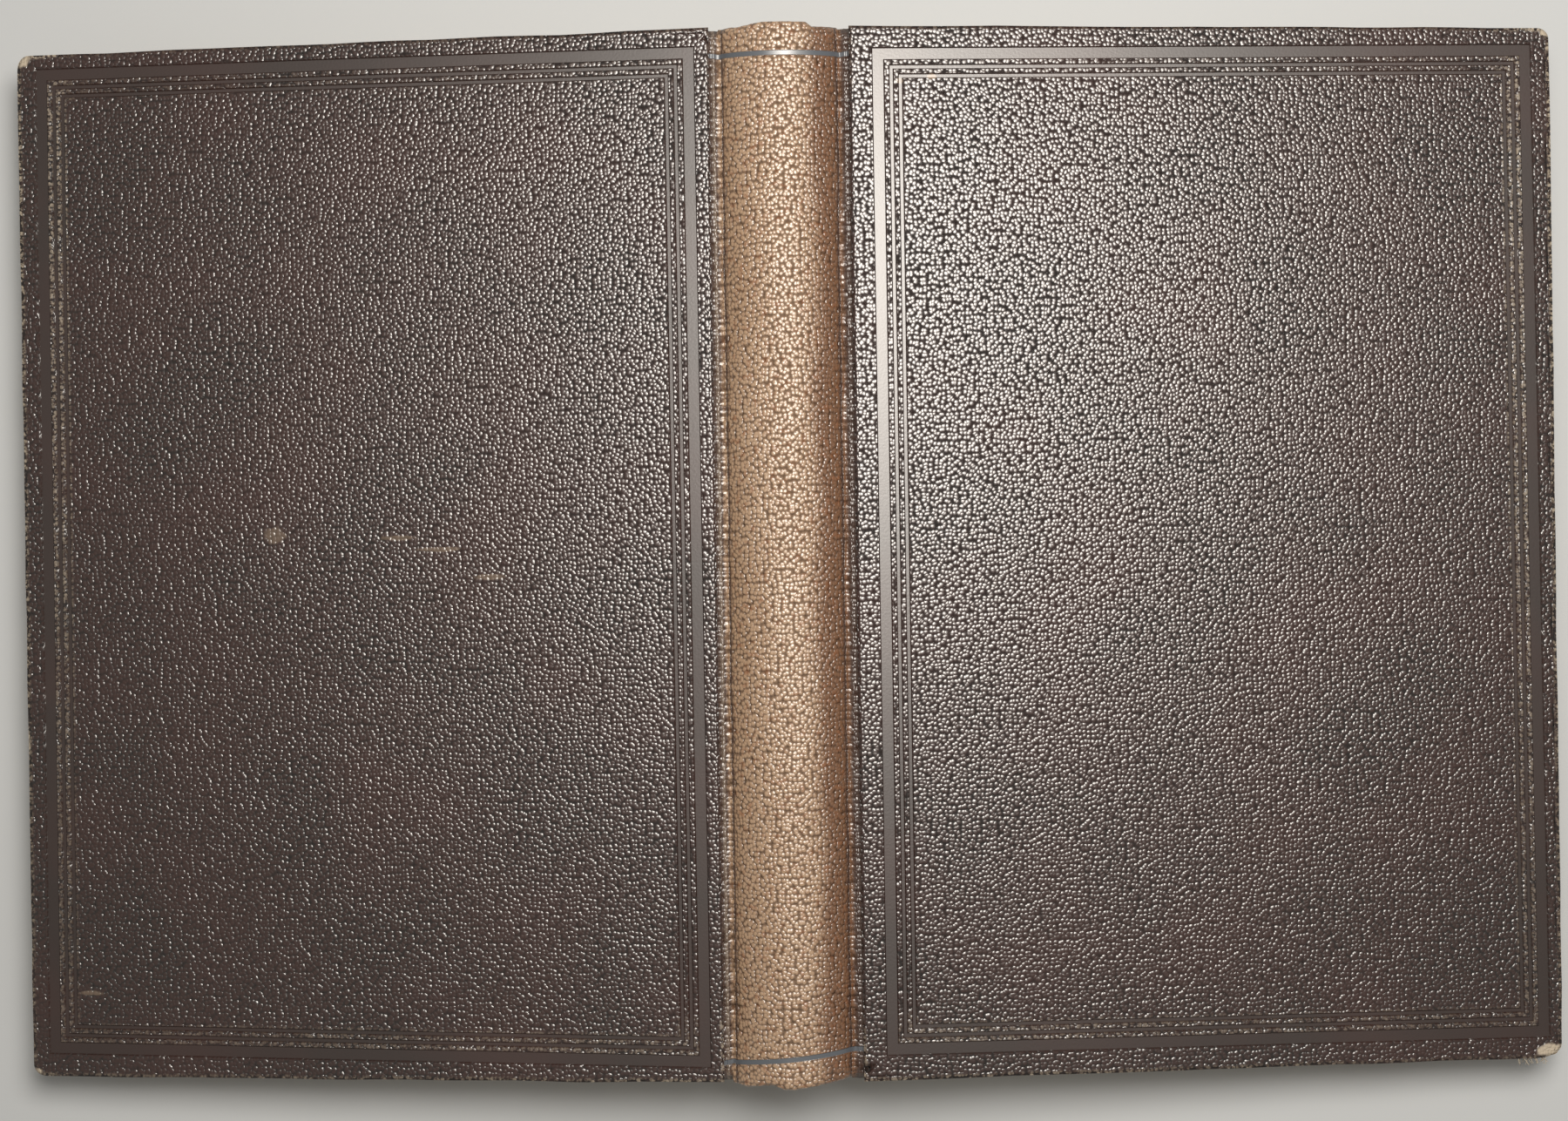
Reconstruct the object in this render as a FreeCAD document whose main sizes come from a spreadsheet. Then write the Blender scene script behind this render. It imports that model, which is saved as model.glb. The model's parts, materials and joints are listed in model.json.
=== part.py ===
import FreeCAD, Part
import os
import re
import Sketcher

# A case-bound book, lying open at its middle with its pages down and its covers and spine up.
# X runs across the open book, the front cover on +X; Y runs up the page, the head on +Y; Z is up.
# The origin is under the middle of the book, on the surface that it lies on.
# Each cover is drawn flat in a frame of its own, whose origin is its hinge line at half the board's
# thickness: x out to the fore-edge, y to the head, z out of the book. A placement then lays it down.

SIZES = (
    # Boards
    ("board_width", 129.5),
    ("board_height", 190.0),
    ("board_thickness", 2.2),
    ("board_corner", 1.5),
    ("square", 3.0),
    # Cloth and paper
    ("cloth", 0.4),
    ("endpaper", 0.2),
    ("turn_in", 15.0),
    ("paste_margin", 2.5),
    ("sink_margin", 0.6),
    ("cover_edge_round", 0.35),
    # Blind-stamped frame, from the board's edge inwards
    ("frame_edge_band", 3.2),
    ("frame_flat", 2.2),
    ("frame_outer_ridge", 0.9),
    ("frame_outer_line", 0.75),
    ("frame_inner_ridge", 0.95),
    ("frame_inner_line", 0.9),
    ("stamp_depth", 0.25),
    # Joints and spine
    ("cover_slope", 5.0),
    ("joint_x", 11.4),
    ("joint_width", 1.55),
    ("joint_gap_cover", 0.25),
    ("joint_gap_spine", 0.5),
    ("spine_half_width", 10.4),
    ("spine_rise", 4.5),
    ("card", 0.6),
    ("card_half_width", 9.0),
    ("spine_turn_in", 12.0),
    # Leaves
    ("half_block", 10.6),
    ("shoulder_inset", 0.4),
    ("back_hollow", 2.4),
    ("fore_edge_rake", 9.5),
    ("fore_edge_radius", 26.0),
    ("gutter_half_width", 13.4),
    ("gutter_slit", 1.0),
    ("middle_section", 2.5),
    ("rest_gap", 0.3),
    # Linings of the block's back
    ("mull_margin", 20.0),
    ("flange_width", 25.0),
    ("lining", 0.3),
    ("glue_line", 0.1),
    ("lining_margin", 4.0),
    ("lining_half_width", 9.4),
    # Sewing cords and end bands
    ("cord", 1.6),
    ("cord_margin", 30.0),
    ("cord_fit", 0.1),
    ("cord_half_width", 9.6),
    ("band_depth", 1.9),
    ("band_projection", 1.4),
    ("band_half_width", 9.8),
    ("band_round", 0.5),
)

# Sizes that follow from those above
FOLLOWS = {
    "half_board": "board_thickness / 2",
    "cover_face": "half_board + cloth",
    "board_fore_edge": "joint_width + board_width",
    "half_cloth_height": "board_height / 2 + cloth",
    "half_leaf_height": "board_height / 2 - square",
    "leaf_reach": "board_fore_edge - square",
    "leaf_drop": "cover_face + endpaper + rest_gap + endpaper",
    "joint_z": "half_block + leaf_reach * sin(cover_slope) + leaf_drop * cos(cover_slope)",
    "crease_top": "joint_z + cloth / 2",
    "crease_bottom": "joint_z - cloth / 2",
    "spine_radius": "(spine_half_width ^ 2 + spine_rise ^ 2) / (2 * spine_rise)",
    "spine_centre": "crease_top + spine_rise - spine_radius",
    "card_outside": "spine_radius - cloth",
    "card_inside": "card_outside - card - 2 * glue_line",
    "turn_in_inside": "card_inside - cloth",
    "shoulder_x": "joint_x - shoulder_inset",
    "shoulder_z": "crease_bottom - rest_gap - cloth - glue_line",
    "ledge_z": "joint_z - (shoulder_x - joint_x) * tan(cover_slope) - leaf_drop / cos(cover_slope)",
    "back_z": "shoulder_z - back_hollow",
    "back_radius": "(shoulder_x ^ 2 + back_hollow ^ 2) / (2 * back_hollow)",
    "back_centre": "back_z + back_radius",
    "mull_length": "board_height - 2 * mull_margin",
    "lining_length": "2 * half_leaf_height - 2 * lining_margin",
    "mull_under": "back_radius - glue_line",
    "mull_face": "mull_under - cloth",
    "lining_under": "mull_face - glue_line",
    "lining_face": "lining_under - lining",
    "fore_edge_x": "joint_x + leaf_reach * cos(cover_slope) - leaf_drop * sin(cover_slope)",
    "gutter_z": "back_z - middle_section",
    "gutter_radius": "gutter_half_width - gutter_slit / 2",
    "cord_pitch": "half_leaf_height - cord_margin",
    "slot_depth": "cord + 2 * cord_fit",
    "cord_centre": "back_radius + cord_fit + cord / 2",
    "slot_half_width": "cord_half_width * (cord_centre + cord / 2) / cord_centre + cord_fit",
}

NAMES = {name for name, value in SIZES}

doc = FreeCAD.newDocument("open_book")
sheet = doc.addObject("Spreadsheet::Sheet", "Sizes")
for row, (name, value) in enumerate(SIZES, start=1):
    sheet.set(f"A{row}", name)
    sheet.set(f"B{row}", str(value))
    sheet.setAlias(f"B{row}", name)
doc.recompute()


def formula(text):
    """Spell a size out in the cells of the sheet."""
    def spell(word):
        name = word.group()
        if name in FOLLOWS:
            return f"({formula(FOLLOWS[name])})"
        return f"Sizes.{name}" if name in NAMES else name
    return re.sub(r"[a-z][a-z_]*", spell, text)


def bind(thing, prop, text):
    """Tie one property of an object to the sheet."""
    thing.setExpression(prop, formula(text))


def value_of(text):
    """The present value of a size, for a first placing that the constraints then hold."""
    probe.setExpression("Length", formula(text))
    probe.recompute()
    return float(probe.Length)


probe = doc.addObject("App::FeaturePython", "probe")
probe.addProperty("App::PropertyFloat", "Length")


def new_body(label):
    body = doc.addObject("PartDesign::Body", label)
    body.Label = label
    return body


def new_sketch(body, role, name, offset="0"):
    """A sketch on one of the body's own planes, or parallel to it at an offset."""
    plane = next(item for item in body.Origin.OriginFeatures if item.Role == role)
    sketch = body.newObject("Sketcher::SketchObject", name)
    sketch.AttachmentSupport = [(plane, "")]
    sketch.MapMode = "FlatFace"
    if offset != "0":
        bind(sketch, ".AttachmentOffset.Base.z", offset)
    return sketch


def hold(sketch, edge, end, x, y):
    """Tie an edge's end point to a place in the sketch."""
    for kind, axis, place in (("DistanceX", -2, x), ("DistanceY", -1, y)):
        if place == "0":
            sketch.addConstraint(Sketcher.Constraint("PointOnObject", edge, end, axis))
        else:
            rule = Sketcher.Constraint(kind, -1, 1, edge, end, value_of(place))
            index = sketch.addConstraint(rule)
            bind(sketch, f"Constraints[{index}]", place)


def draw_loop(sketch, corners):
    """Draw a closed outline. A corner is (x, y), or (x, y, radius, bend) where the edge that leaves
    it is an arc: bend is 1 where the arc bulges to the right of its chord, and -1 to the left."""
    count = len(corners)
    places = [FreeCAD.Vector(value_of(corner[0]), value_of(corner[1]), 0) for corner in corners]
    first = sketch.GeometryCount
    for step, corner in enumerate(corners):
        start, end = places[step], places[(step + 1) % count]
        if len(corner) == 2:
            sketch.addGeometry(Part.LineSegment(start, end), False)
            continue
        radius, bend = value_of(corner[2]), corner[3]
        chord = end - start
        rise = radius - (radius ** 2 - chord.Length ** 2 / 4) ** 0.5
        across = FreeCAD.Vector(chord.y, -chord.x, 0).normalize() * rise * bend
        crown = (start + end) * 0.5 + across
        sketch.addGeometry(Part.Arc(start, crown, end), False)
    # An arc that turns clockwise is stored from its far end
    starts = [1 if sketch.getPoint(first + step, 1).isEqual(place, 1e-6) else 2
              for step, place in enumerate(places)]
    for step, corner in enumerate(corners):
        edge = first + step
        following = (step + 1) % count
        end = 3 - starts[step]
        rule = Sketcher.Constraint("Coincident", edge, end, first + following, starts[following])
        sketch.addConstraint(rule)
        hold(sketch, edge, starts[step], corner[0], corner[1])
        if len(corner) == 4:
            rule = Sketcher.Constraint("Radius", edge, value_of(corner[2]))
            index = sketch.addConstraint(rule)
            bind(sketch, f"Constraints[{index}]", corner[2])


def rectangle(left, right, half_height):
    """Corners of a rectangle that lies the same way above and below the x axis."""
    return [(left, f"-({half_height})"), (right, f"-({half_height})"), (right, half_height),
            (left, half_height)]


def board_outline(left, right, half_height, corner):
    """A rectangle with its two fore-edge corners rounded."""
    return [(left, f"-({half_height})"),
            (f"{right} - ({corner})", f"-({half_height})", corner, 1),
            (right, f"-({half_height}) + {corner}"),
            (right, f"{half_height} - ({corner})", corner, 1),
            (f"{right} - ({corner})", half_height),
            (left, half_height)]


def extrude(body, kind, sketch, length, both_ways=False, reversed_way=False):
    """A Pad or a Pocket of a sketch."""
    feature = body.newObject(f"PartDesign::{kind}", f"{sketch.Name}_{kind.lower()}")
    feature.Profile = sketch
    feature.SideType = "Symmetric" if both_ways else "One side"
    feature.Reversed = reversed_way
    bind(feature, "Length", length)
    sketch.Visibility = False
    return feature


def mirror_body(body):
    """Complete a body that was drawn on the front cover's side with its other half."""
    plane = next(item for item in body.Origin.OriginFeatures if item.Role == "YZ_Plane")
    mirror = body.newObject("PartDesign::Mirrored", f"{body.Name}_mirrored")
    mirror.TransformMode = "Whole shape"
    mirror.MirrorPlane = (plane, [""])
    body.Tip = mirror


def lay_down(body, side):
    """Turn a flat cover onto its slope: 1 for the front cover, -1 for the back cover."""
    turn = "0" if side > 0 else "180"
    place = f"vector({side} * joint_x; 0; joint_z)"
    slope = "rotation(vector(0; 1; 0); cover_slope)"
    bind(body, ".Placement", f"placement({place}; rotation(vector(0; 0; 1); {turn}) * {slope})")


def make_board(name, side):
    """A card board with its fore-edge corners knocked round."""
    body = new_body(name)
    outline = new_sketch(body, "XY_Plane", f"{name}_outline", "-half_board")
    draw_loop(outline, board_outline("joint_width", "board_fore_edge", "board_height / 2", "board_corner"))
    extrude(body, "Pad", outline, "board_thickness")
    lay_down(body, side)
    return body


def frame_lines():
    """The rims of the three sunk bands of the stamped frame, as distances from the board's edge."""
    bands = ("frame_edge_band", "frame_flat", "frame_outer_ridge", "frame_outer_line",
             "frame_inner_ridge", "frame_inner_line")
    return [" + ".join(bands[:count]) for count in range(1, len(bands) + 1)]


def make_cover_cloth(name, side):
    """Cloth over a board's face, folded round three edges to its turn-ins, with a tongue at the joint."""
    body = new_body(name)
    joint_side = "joint_width - cloth"
    envelope = new_sketch(body, "XY_Plane", f"{name}_envelope", "-(cover_face)")
    draw_loop(envelope, board_outline(joint_side, "board_fore_edge + cloth", "half_cloth_height",
                                      "board_corner + cloth"))
    block = extrude(body, "Pad", envelope, "2 * cover_face")
    doc.recompute()
    face_edges = [f"Edge{number}" for number, edge in enumerate(block.Shape.Edges, start=1)
                  if edge.BoundBox.ZMin > 0]
    rounding = body.newObject("PartDesign::Fillet", f"{name}_rounding")
    rounding.Base = (block, face_edges)
    bind(rounding, "Radius", "cover_edge_round")
    body.Tip = rounding

    under_turn_ins = new_sketch(body, "XY_Plane", f"{name}_inner_opening", "-half_board")
    draw_loop(under_turn_ins, rectangle("joint_width - 2 * cloth", "board_fore_edge - turn_in",
                                        "board_height / 2 - turn_in"))
    extrude(body, "Pocket", under_turn_ins, "2 * cloth")
    joint_edge = new_sketch(body, "XY_Plane", f"{name}_joint_opening", "-cloth / 2")
    draw_loop(joint_edge, rectangle("joint_width - 2 * cloth", "joint_width", "half_cloth_height + cloth"))
    extrude(body, "Pocket", joint_edge, "cover_face")
    board_space = new_sketch(body, "XY_Plane", f"{name}_board_space", "half_board")
    draw_loop(board_space, board_outline("joint_width", "board_fore_edge", "board_height / 2",
                                         "board_corner"))
    extrude(body, "Pocket", board_space, "board_thickness")

    tongue = new_sketch(body, "XY_Plane", f"{name}_tongue", "-cloth / 2")
    draw_loop(tongue, rectangle("joint_gap_cover", joint_side, "half_cloth_height"))
    extrude(body, "Pad", tongue, "cloth")

    stamped = new_sketch(body, "XY_Plane", f"{name}_stamped_frame", "cover_face")
    for inset in frame_lines():
        draw_loop(stamped, rectangle(f"joint_width + {inset}", f"board_fore_edge - ({inset})",
                                     f"board_height / 2 - ({inset})"))
    extrude(body, "Pocket", stamped, "stamp_depth")
    lay_down(body, side)
    return body


def make_pastedown(name, side):
    """The leaf pasted inside a board: it lies over the turn-ins and sinks onto the board between them."""
    body = new_body(name)
    tray = ("joint_width + flange_width + sink_margin", "board_fore_edge - turn_in - sink_margin",
            "board_height / 2 - turn_in - sink_margin")
    sheet_face = "-(cover_face + endpaper)"
    leaf = new_sketch(body, "XY_Plane", f"{name}_leaf", sheet_face)
    draw_loop(leaf, rectangle("joint_width", "board_fore_edge - paste_margin",
                              "board_height / 2 - paste_margin"))
    extrude(body, "Pad", leaf, "endpaper")
    sunk = new_sketch(body, "XY_Plane", f"{name}_sunk_part", "-(cover_face)")
    draw_loop(sunk, rectangle(*tray))
    extrude(body, "Pad", sunk, "cloth")
    hollow = new_sketch(body, "XY_Plane", f"{name}_hollow", sheet_face)
    draw_loop(hollow, rectangle(f"{tray[0]} + endpaper", f"{tray[1]} - endpaper", f"{tray[2]} - endpaper"))
    extrude(body, "Pocket", hollow, "cloth", reversed_way=True)
    lay_down(body, side)
    return body


def make_mull_flange(name, side):
    """The strip of mull glued to the board's inside, between the turn-ins."""
    body = new_body(name)
    strip = new_sketch(body, "XY_Plane", f"{name}_strip", "-(cover_face)")
    draw_loop(strip, rectangle("joint_width", "joint_width + flange_width", "mull_length / 2"))
    extrude(body, "Pad", strip, "cloth")
    lay_down(body, side)
    return body


def make_flyleaf(name, side):
    """The free endpaper, which lies on the leaves under the cover."""
    body = new_body(name)
    leaf = new_sketch(body, "XY_Plane", f"{name}_leaf", "-(leaf_drop)")
    draw_loop(leaf, rectangle("0", "leaf_reach", "half_leaf_height"))
    extrude(body, "Pad", leaf, "endpaper")
    lay_down(body, side)
    return body


def arched_half(outside, inside, half_width):
    """The front half of a strip that is bent over the hollow of the spine."""
    def height(radius):
        return f"spine_centre + sqrt(({radius}) ^ 2 - ({half_width}) ^ 2)"
    return [(half_width, height(inside)),
            (half_width, height(outside), outside, 1),
            ("0", f"spine_centre + {outside}"),
            ("0", f"spine_centre + {inside}", inside, -1)]


def dished_half(upper, lower, half_width):
    """The front half of a strip that lies in the dished back of the block."""
    def height(radius):
        return f"back_centre - sqrt(({radius}) ^ 2 - ({half_width}) ^ 2)"
    return [("0", f"back_centre - ({lower})", lower, 1),
            (half_width, height(lower)),
            (half_width, height(upper), upper, -1),
            ("0", f"back_centre - ({upper})")]


def make_pages():
    """All the leaves, open at their middle: raked fore-edges, a gutter below, shoulders at the back."""
    body = new_body("pages")
    half = new_sketch(body, "XZ_Plane", "pages_half")
    fillet = "gutter_slit / 2"
    draw_loop(half, [
        ("0", "back_z", "back_radius", 1),
        ("shoulder_x", "shoulder_z"),
        ("shoulder_x", "ledge_z"),
        ("fore_edge_x", "half_block", "fore_edge_radius", 1),
        ("fore_edge_x - fore_edge_rake", "0"),
        ("gutter_half_width", "0", "gutter_radius", -1),
        (fillet, "gutter_radius"),
        (fillet, f"gutter_z - {fillet}", fillet, 1),
        ("0", "gutter_z"),
    ])
    extrude(body, "Pad", half, "2 * half_leaf_height", both_ways=True)
    for name, place in CORD_PLACES.items():
        slot = new_sketch(body, "XZ_Plane", f"slot_{name}", f"-({place})")
        draw_loop(slot, dished_half("back_radius - slot_depth", "back_radius + slot_depth",
                                    "slot_half_width"))
        extrude(body, "Pocket", slot, "slot_depth", both_ways=True)
    mirror_body(body)
    return body


CORD_PLACES = {"head": "cord_pitch", "middle": "0", "tail": "-(cord_pitch)"}


def make_sewing_cord(name, place):
    """A cord let into its slot across the back, flush under the mull."""
    body = new_body(f"sewing_cord_{name}")
    section = new_sketch(body, "YZ_Plane", f"{name}_cord_section")
    bind(section, ".AttachmentOffset.Base.y", "back_centre")
    circle = Part.Circle(FreeCAD.Vector(value_of(place), -value_of("cord_centre"), 0),
                         FreeCAD.Vector(0, 0, 1), value_of("cord / 2"))
    edge = section.addGeometry(circle, False)
    hold(section, edge, 3, place, "-(cord_centre)")
    index = section.addConstraint(Sketcher.Constraint("Radius", edge, value_of("cord / 2")))
    bind(section, f"Constraints[{index}]", "cord / 2")
    sweep = body.newObject("PartDesign::Revolution", f"{name}_cord_sweep")
    sweep.Profile = section
    sweep.ReferenceAxis = (section, ["H_Axis"])
    sweep.Midplane = True
    bind(sweep, "Angle", "2 * asin(cord_half_width / cord_centre)")
    return body


def make_dished_strip(name, upper, lower, half_width, length):
    """The mull or the paper lining on the block's back."""
    body = new_body(name)
    half = new_sketch(body, "XZ_Plane", f"{name}_half")
    draw_loop(half, dished_half(upper, lower, half_width))
    extrude(body, "Pad", half, length, both_ways=True)
    mirror_body(body)
    return body


def make_end_band(name, end):
    """The sewn band across the end of the block's back: 1 at the head, -1 at the tail."""
    body = new_body(name)
    half = new_sketch(body, "XZ_Plane", f"{name}_half", f"{-end} * half_leaf_height")
    draw_loop(half, dished_half("back_radius", "back_radius + band_depth", "band_half_width"))
    strip = extrude(body, "Pad", half, "band_projection", reversed_way=end > 0)
    doc.recompute()
    outer_end = value_of(f"{end} * (half_leaf_height + band_projection)")
    long_edges = [f"Edge{number}" for number, edge in enumerate(strip.Shape.Edges, start=1)
                  if edge.Length > value_of("band_depth * 2")
                  and abs(edge.CenterOfMass.y - outer_end) < value_of("band_projection / 10")]
    rounding = body.newObject("PartDesign::Fillet", f"{name}_rounding")
    rounding.Base = (strip, long_edges)
    bind(rounding, "Radius", "band_round")
    body.Tip = rounding
    mirror_body(body)
    return body


def make_spine_stiffener():
    """The card that keeps the hollow back arched."""
    body = new_body("spine_stiffener")
    half = new_sketch(body, "XZ_Plane", "stiffener_half")
    draw_loop(half, arched_half("card_outside - glue_line", "card_inside + glue_line",
                                "card_half_width - glue_line"))
    extrude(body, "Pad", half, "board_height - 2 * glue_line", both_ways=True)
    mirror_body(body)
    return body


def make_spine_cloth():
    """Cloth over the arched card, turned in at head and tail, and down into the two joints."""
    body = new_body("spine_cloth")
    full_length = "2 * half_cloth_height"
    outside = new_sketch(body, "XZ_Plane", "spine_outside")
    draw_loop(outside, [
        ("0", "spine_centre + card_outside", "card_outside", 1),
        ("sqrt((card_outside) ^ 2 - (crease_bottom - spine_centre) ^ 2)", "crease_bottom"),
        ("joint_x - joint_gap_spine", "crease_bottom"),
        ("joint_x - joint_gap_spine", "crease_top"),
        ("spine_half_width", "crease_top", "spine_radius", 1),
        ("0", "spine_centre + spine_radius"),
    ])
    extrude(body, "Pad", outside, full_length, both_ways=True)
    lining = new_sketch(body, "XZ_Plane", "spine_turn_in")
    draw_loop(lining, arched_half("card_outside", "turn_in_inside", "card_half_width"))
    extrude(body, "Pad", lining, full_length, both_ways=True)
    card_space = new_sketch(body, "XZ_Plane", "card_space")
    draw_loop(card_space, arched_half("card_outside", "card_inside", "card_half_width"))
    extrude(body, "Pocket", card_space, "board_height", both_ways=True)
    hollow = new_sketch(body, "XZ_Plane", "spine_hollow")
    draw_loop(hollow, arched_half("card_inside", "turn_in_inside", "card_half_width"))
    extrude(body, "Pocket", hollow, "board_height - 2 * spine_turn_in", both_ways=True)
    mirror_body(body)
    return body


def make_parts():
    """Every piece of the book, from the leaves outwards."""
    parts = [make_pages()]
    parts += [make_sewing_cord(name, place) for name, place in CORD_PLACES.items()]
    parts.append(make_dished_strip("spine_mull", "mull_face", "mull_under", "shoulder_x", "mull_length"))
    parts.append(make_dished_strip("spine_lining", "lining_face", "lining_under", "lining_half_width",
                                   "lining_length"))
    parts.append(make_end_band("head_band", 1))
    parts.append(make_end_band("tail_band", -1))
    parts.append(make_spine_stiffener())
    parts.append(make_spine_cloth())
    for cover, side in (("front", 1), ("back", -1)):
        parts.append(make_flyleaf(f"{cover}_flyleaf", side))
        parts.append(make_pastedown(f"{cover}_pastedown", side))
        parts.append(make_mull_flange(f"{cover}_mull_flange", side))
        parts.append(make_board(f"{cover}_board", side))
        parts.append(make_cover_cloth(f"{cover}_cover_cloth", side))
    return parts


parts = make_parts()
doc.recompute()

failed = [item.Name for item in doc.Objects if "Invalid" in item.State or "Error" in item.State]
failed += [part.Label for part in parts if part.Shape.isNull() or not part.Shape.isValid()]
if failed:
    raise RuntimeError("these did not build: " + ", ".join(failed))

os.makedirs("parts", exist_ok=True)
for part in parts:
    part.Shape.exportStep(f"parts/{part.Label}.step")
    print(part.Label, len(part.Shape.Solids), "solid", round(part.Shape.Volume, 1), "mm3")
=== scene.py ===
import json
import math
import random

import bmesh
import bpy
from mathutils import Matrix, Vector, noise


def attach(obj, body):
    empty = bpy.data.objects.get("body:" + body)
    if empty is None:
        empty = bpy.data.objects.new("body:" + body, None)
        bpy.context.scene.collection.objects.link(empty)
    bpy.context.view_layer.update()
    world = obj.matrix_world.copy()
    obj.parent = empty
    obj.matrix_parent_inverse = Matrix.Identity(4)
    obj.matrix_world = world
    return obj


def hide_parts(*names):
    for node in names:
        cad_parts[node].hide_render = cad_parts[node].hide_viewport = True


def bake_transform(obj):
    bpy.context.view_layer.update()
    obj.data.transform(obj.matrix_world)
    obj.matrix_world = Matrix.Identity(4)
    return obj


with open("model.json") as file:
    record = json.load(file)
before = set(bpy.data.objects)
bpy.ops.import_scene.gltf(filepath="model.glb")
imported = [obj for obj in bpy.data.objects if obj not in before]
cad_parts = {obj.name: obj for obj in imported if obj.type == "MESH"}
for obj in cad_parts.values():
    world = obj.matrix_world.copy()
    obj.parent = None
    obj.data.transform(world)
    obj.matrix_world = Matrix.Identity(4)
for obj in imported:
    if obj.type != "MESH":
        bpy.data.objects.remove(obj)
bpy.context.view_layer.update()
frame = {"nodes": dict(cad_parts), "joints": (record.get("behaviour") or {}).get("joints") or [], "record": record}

# An old case-bound book, open at its middle and laid face down: two cloth covers, a hollow spine and
# the leaves below. X runs across, the front cover on +X; Y runs up the page to the head; Z is up.
# Lengths are in millimetres here and turn into metres when a mesh is put in its place.

MM = 0.001
SLOPE = math.radians(5.0)
HINGES = {joint["child"]: Vector(joint["pos_m"]) / MM for joint in frame["joints"]}
HINGE_X, HINGE_Z = HINGES["front_cover"].x, HINGES["front_cover"].z

# A cover lying flat: u runs out to the fore-edge, v to the head, n out of the book
JOINT_EDGE, FORE_EDGE, HALF_HEIGHT, FACE = 1.15, 131.45, 95.4, 1.5
TURN_IN = 15.0
STAMP_DEPTH, STAMP_SIDE = 0.25, 0.22
RUBBED_RIM = 0.8
# The stamped frame from the edge inwards: each band's width, and whether it is sunk and smooth
STAMPED_BANDS = ((3.2 - RUBBED_RIM, False), (2.15, True), (0.95, False), (0.75, True), (0.9, False),
                 (0.75, True))
# The frame was stamped a little askew: how far its corners stand from their true places, by board corner
FRONT_SKEW = {(1, 1): (-0.4, 0.1), (1, -1): (0.8, 0.7), (-1, 1): (1.1, -0.9), (-1, -1): (1.1, 1.4)}
BACK_SKEW = {(1, 1): (0.0, -1.1), (1, -1): (-0.4, -0.5), (-1, 1): (-0.7, 0.4), (-1, -1): (-0.4, 0.1)}

SPINE_RADIUS, SPINE_CENTRE, SPINE_HALF_WIDTH = 14.268, 14.384, 10.4
HALF_LEAF_HEIGHT = 92.0
BACK_RADIUS, BACK_MIDDLE, BACK_HALF_WIDTH = 26.408, 20.55, 11.0
CLOTH_THICKNESS = 0.12


# Meshes

def put_in_scene(bm, name, material, sharp=35.0):
    """Make an object of a mesh that already lies in its place."""
    mesh = bpy.data.meshes.new(name)
    bm.to_mesh(mesh)
    bm.free()
    mesh.shade_smooth()
    mesh.set_sharp_from_angle(angle=math.radians(sharp))
    mesh.materials.append(material)
    piece = bpy.data.objects.new(name, mesh)
    bpy.context.scene.collection.objects.link(piece)
    return piece


def thicken(piece, thickness):
    """Give a sheet its thickness, on its inner side."""
    wall = piece.modifiers.new("cloth thickness", "SOLIDIFY")
    wall.thickness = thickness * MM
    wall.offset = -1.0


def cut_across(bm, places, axis):
    """Cut a mesh all through at each place along an axis, so that it can bend there."""
    for place in places:
        where, facing = Vector((0, 0, 0)), Vector((0, 0, 0))
        where[axis], facing[axis] = place, 1.0
        bmesh.ops.bisect_plane(bm, geom=bm.verts[:] + bm.edges[:] + bm.faces[:], dist=1e-5,
                               plane_co=where, plane_no=facing)


def between(points, place):
    """The value at a place on a line through measured points."""
    for (start, low), (end, high) in zip(points, points[1:]):
        if place <= end:
            share = max(0.0, (place - start) / (end - start))
            return low + (high - low) * share
    return points[-1][1]


def write_map(bm, layer, flat):
    """Write each vertex's place on the flat cloth, in metres, into the cloth's own map."""
    for face in bm.faces:
        for loop in face.loops:
            u, v = flat[loop.vert]
            loop[layer].uv = (u * MM, v * MM)


def ripple(x, y, seed):
    """A smooth random value, about -1 to 1, that is the same on every run."""
    return noise.noise(Vector((x, y, seed)))


def cover_to_book(side):
    """The matrix that lays a flat cover down on its slope: 1 for the front cover, -1 for the back."""
    turn = Matrix.Rotation(math.pi if side < 0 else 0.0, 4, "Z")
    place = Matrix.Translation((side * HINGE_X, 0, HINGE_Z))
    return Matrix.Scale(MM, 4) @ place @ turn @ Matrix.Rotation(SLOPE, 4, "Y")


# Materials

def linear(code):
    """The linear colour of an sRGB hex value."""
    parts = [int(code[start:start + 2], 16) / 255 for start in (0, 2, 4)]
    return [part / 12.92 if part <= 0.04045 else ((part + 0.055) / 1.055) ** 2.4 for part in parts] + [1.0]


def add(tree, kind, wiring=None, out=0, **settings):
    """Add a node, set it, feed its inputs, and give back one of its outputs."""
    node = tree.nodes.new("ShaderNode" + kind)
    for name, value in settings.items():
        setattr(node, name, value)
    for socket, value in (wiring or {}).items():
        if isinstance(value, bpy.types.NodeSocket):
            tree.links.new(value, node.inputs[socket])
        else:
            node.inputs[socket].default_value = value
    return node.outputs[out]


def new_material(name, **surface):
    """A material and its surface shader, with the values that are the same all over it."""
    material = bpy.data.materials.new(name)
    material.use_nodes = True
    shader = material.node_tree.nodes["Principled BSDF"]
    for socket, value in surface.items():
        shader.inputs[socket.replace("_", " ")].default_value = value
    return material, material.node_tree, shader


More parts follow.
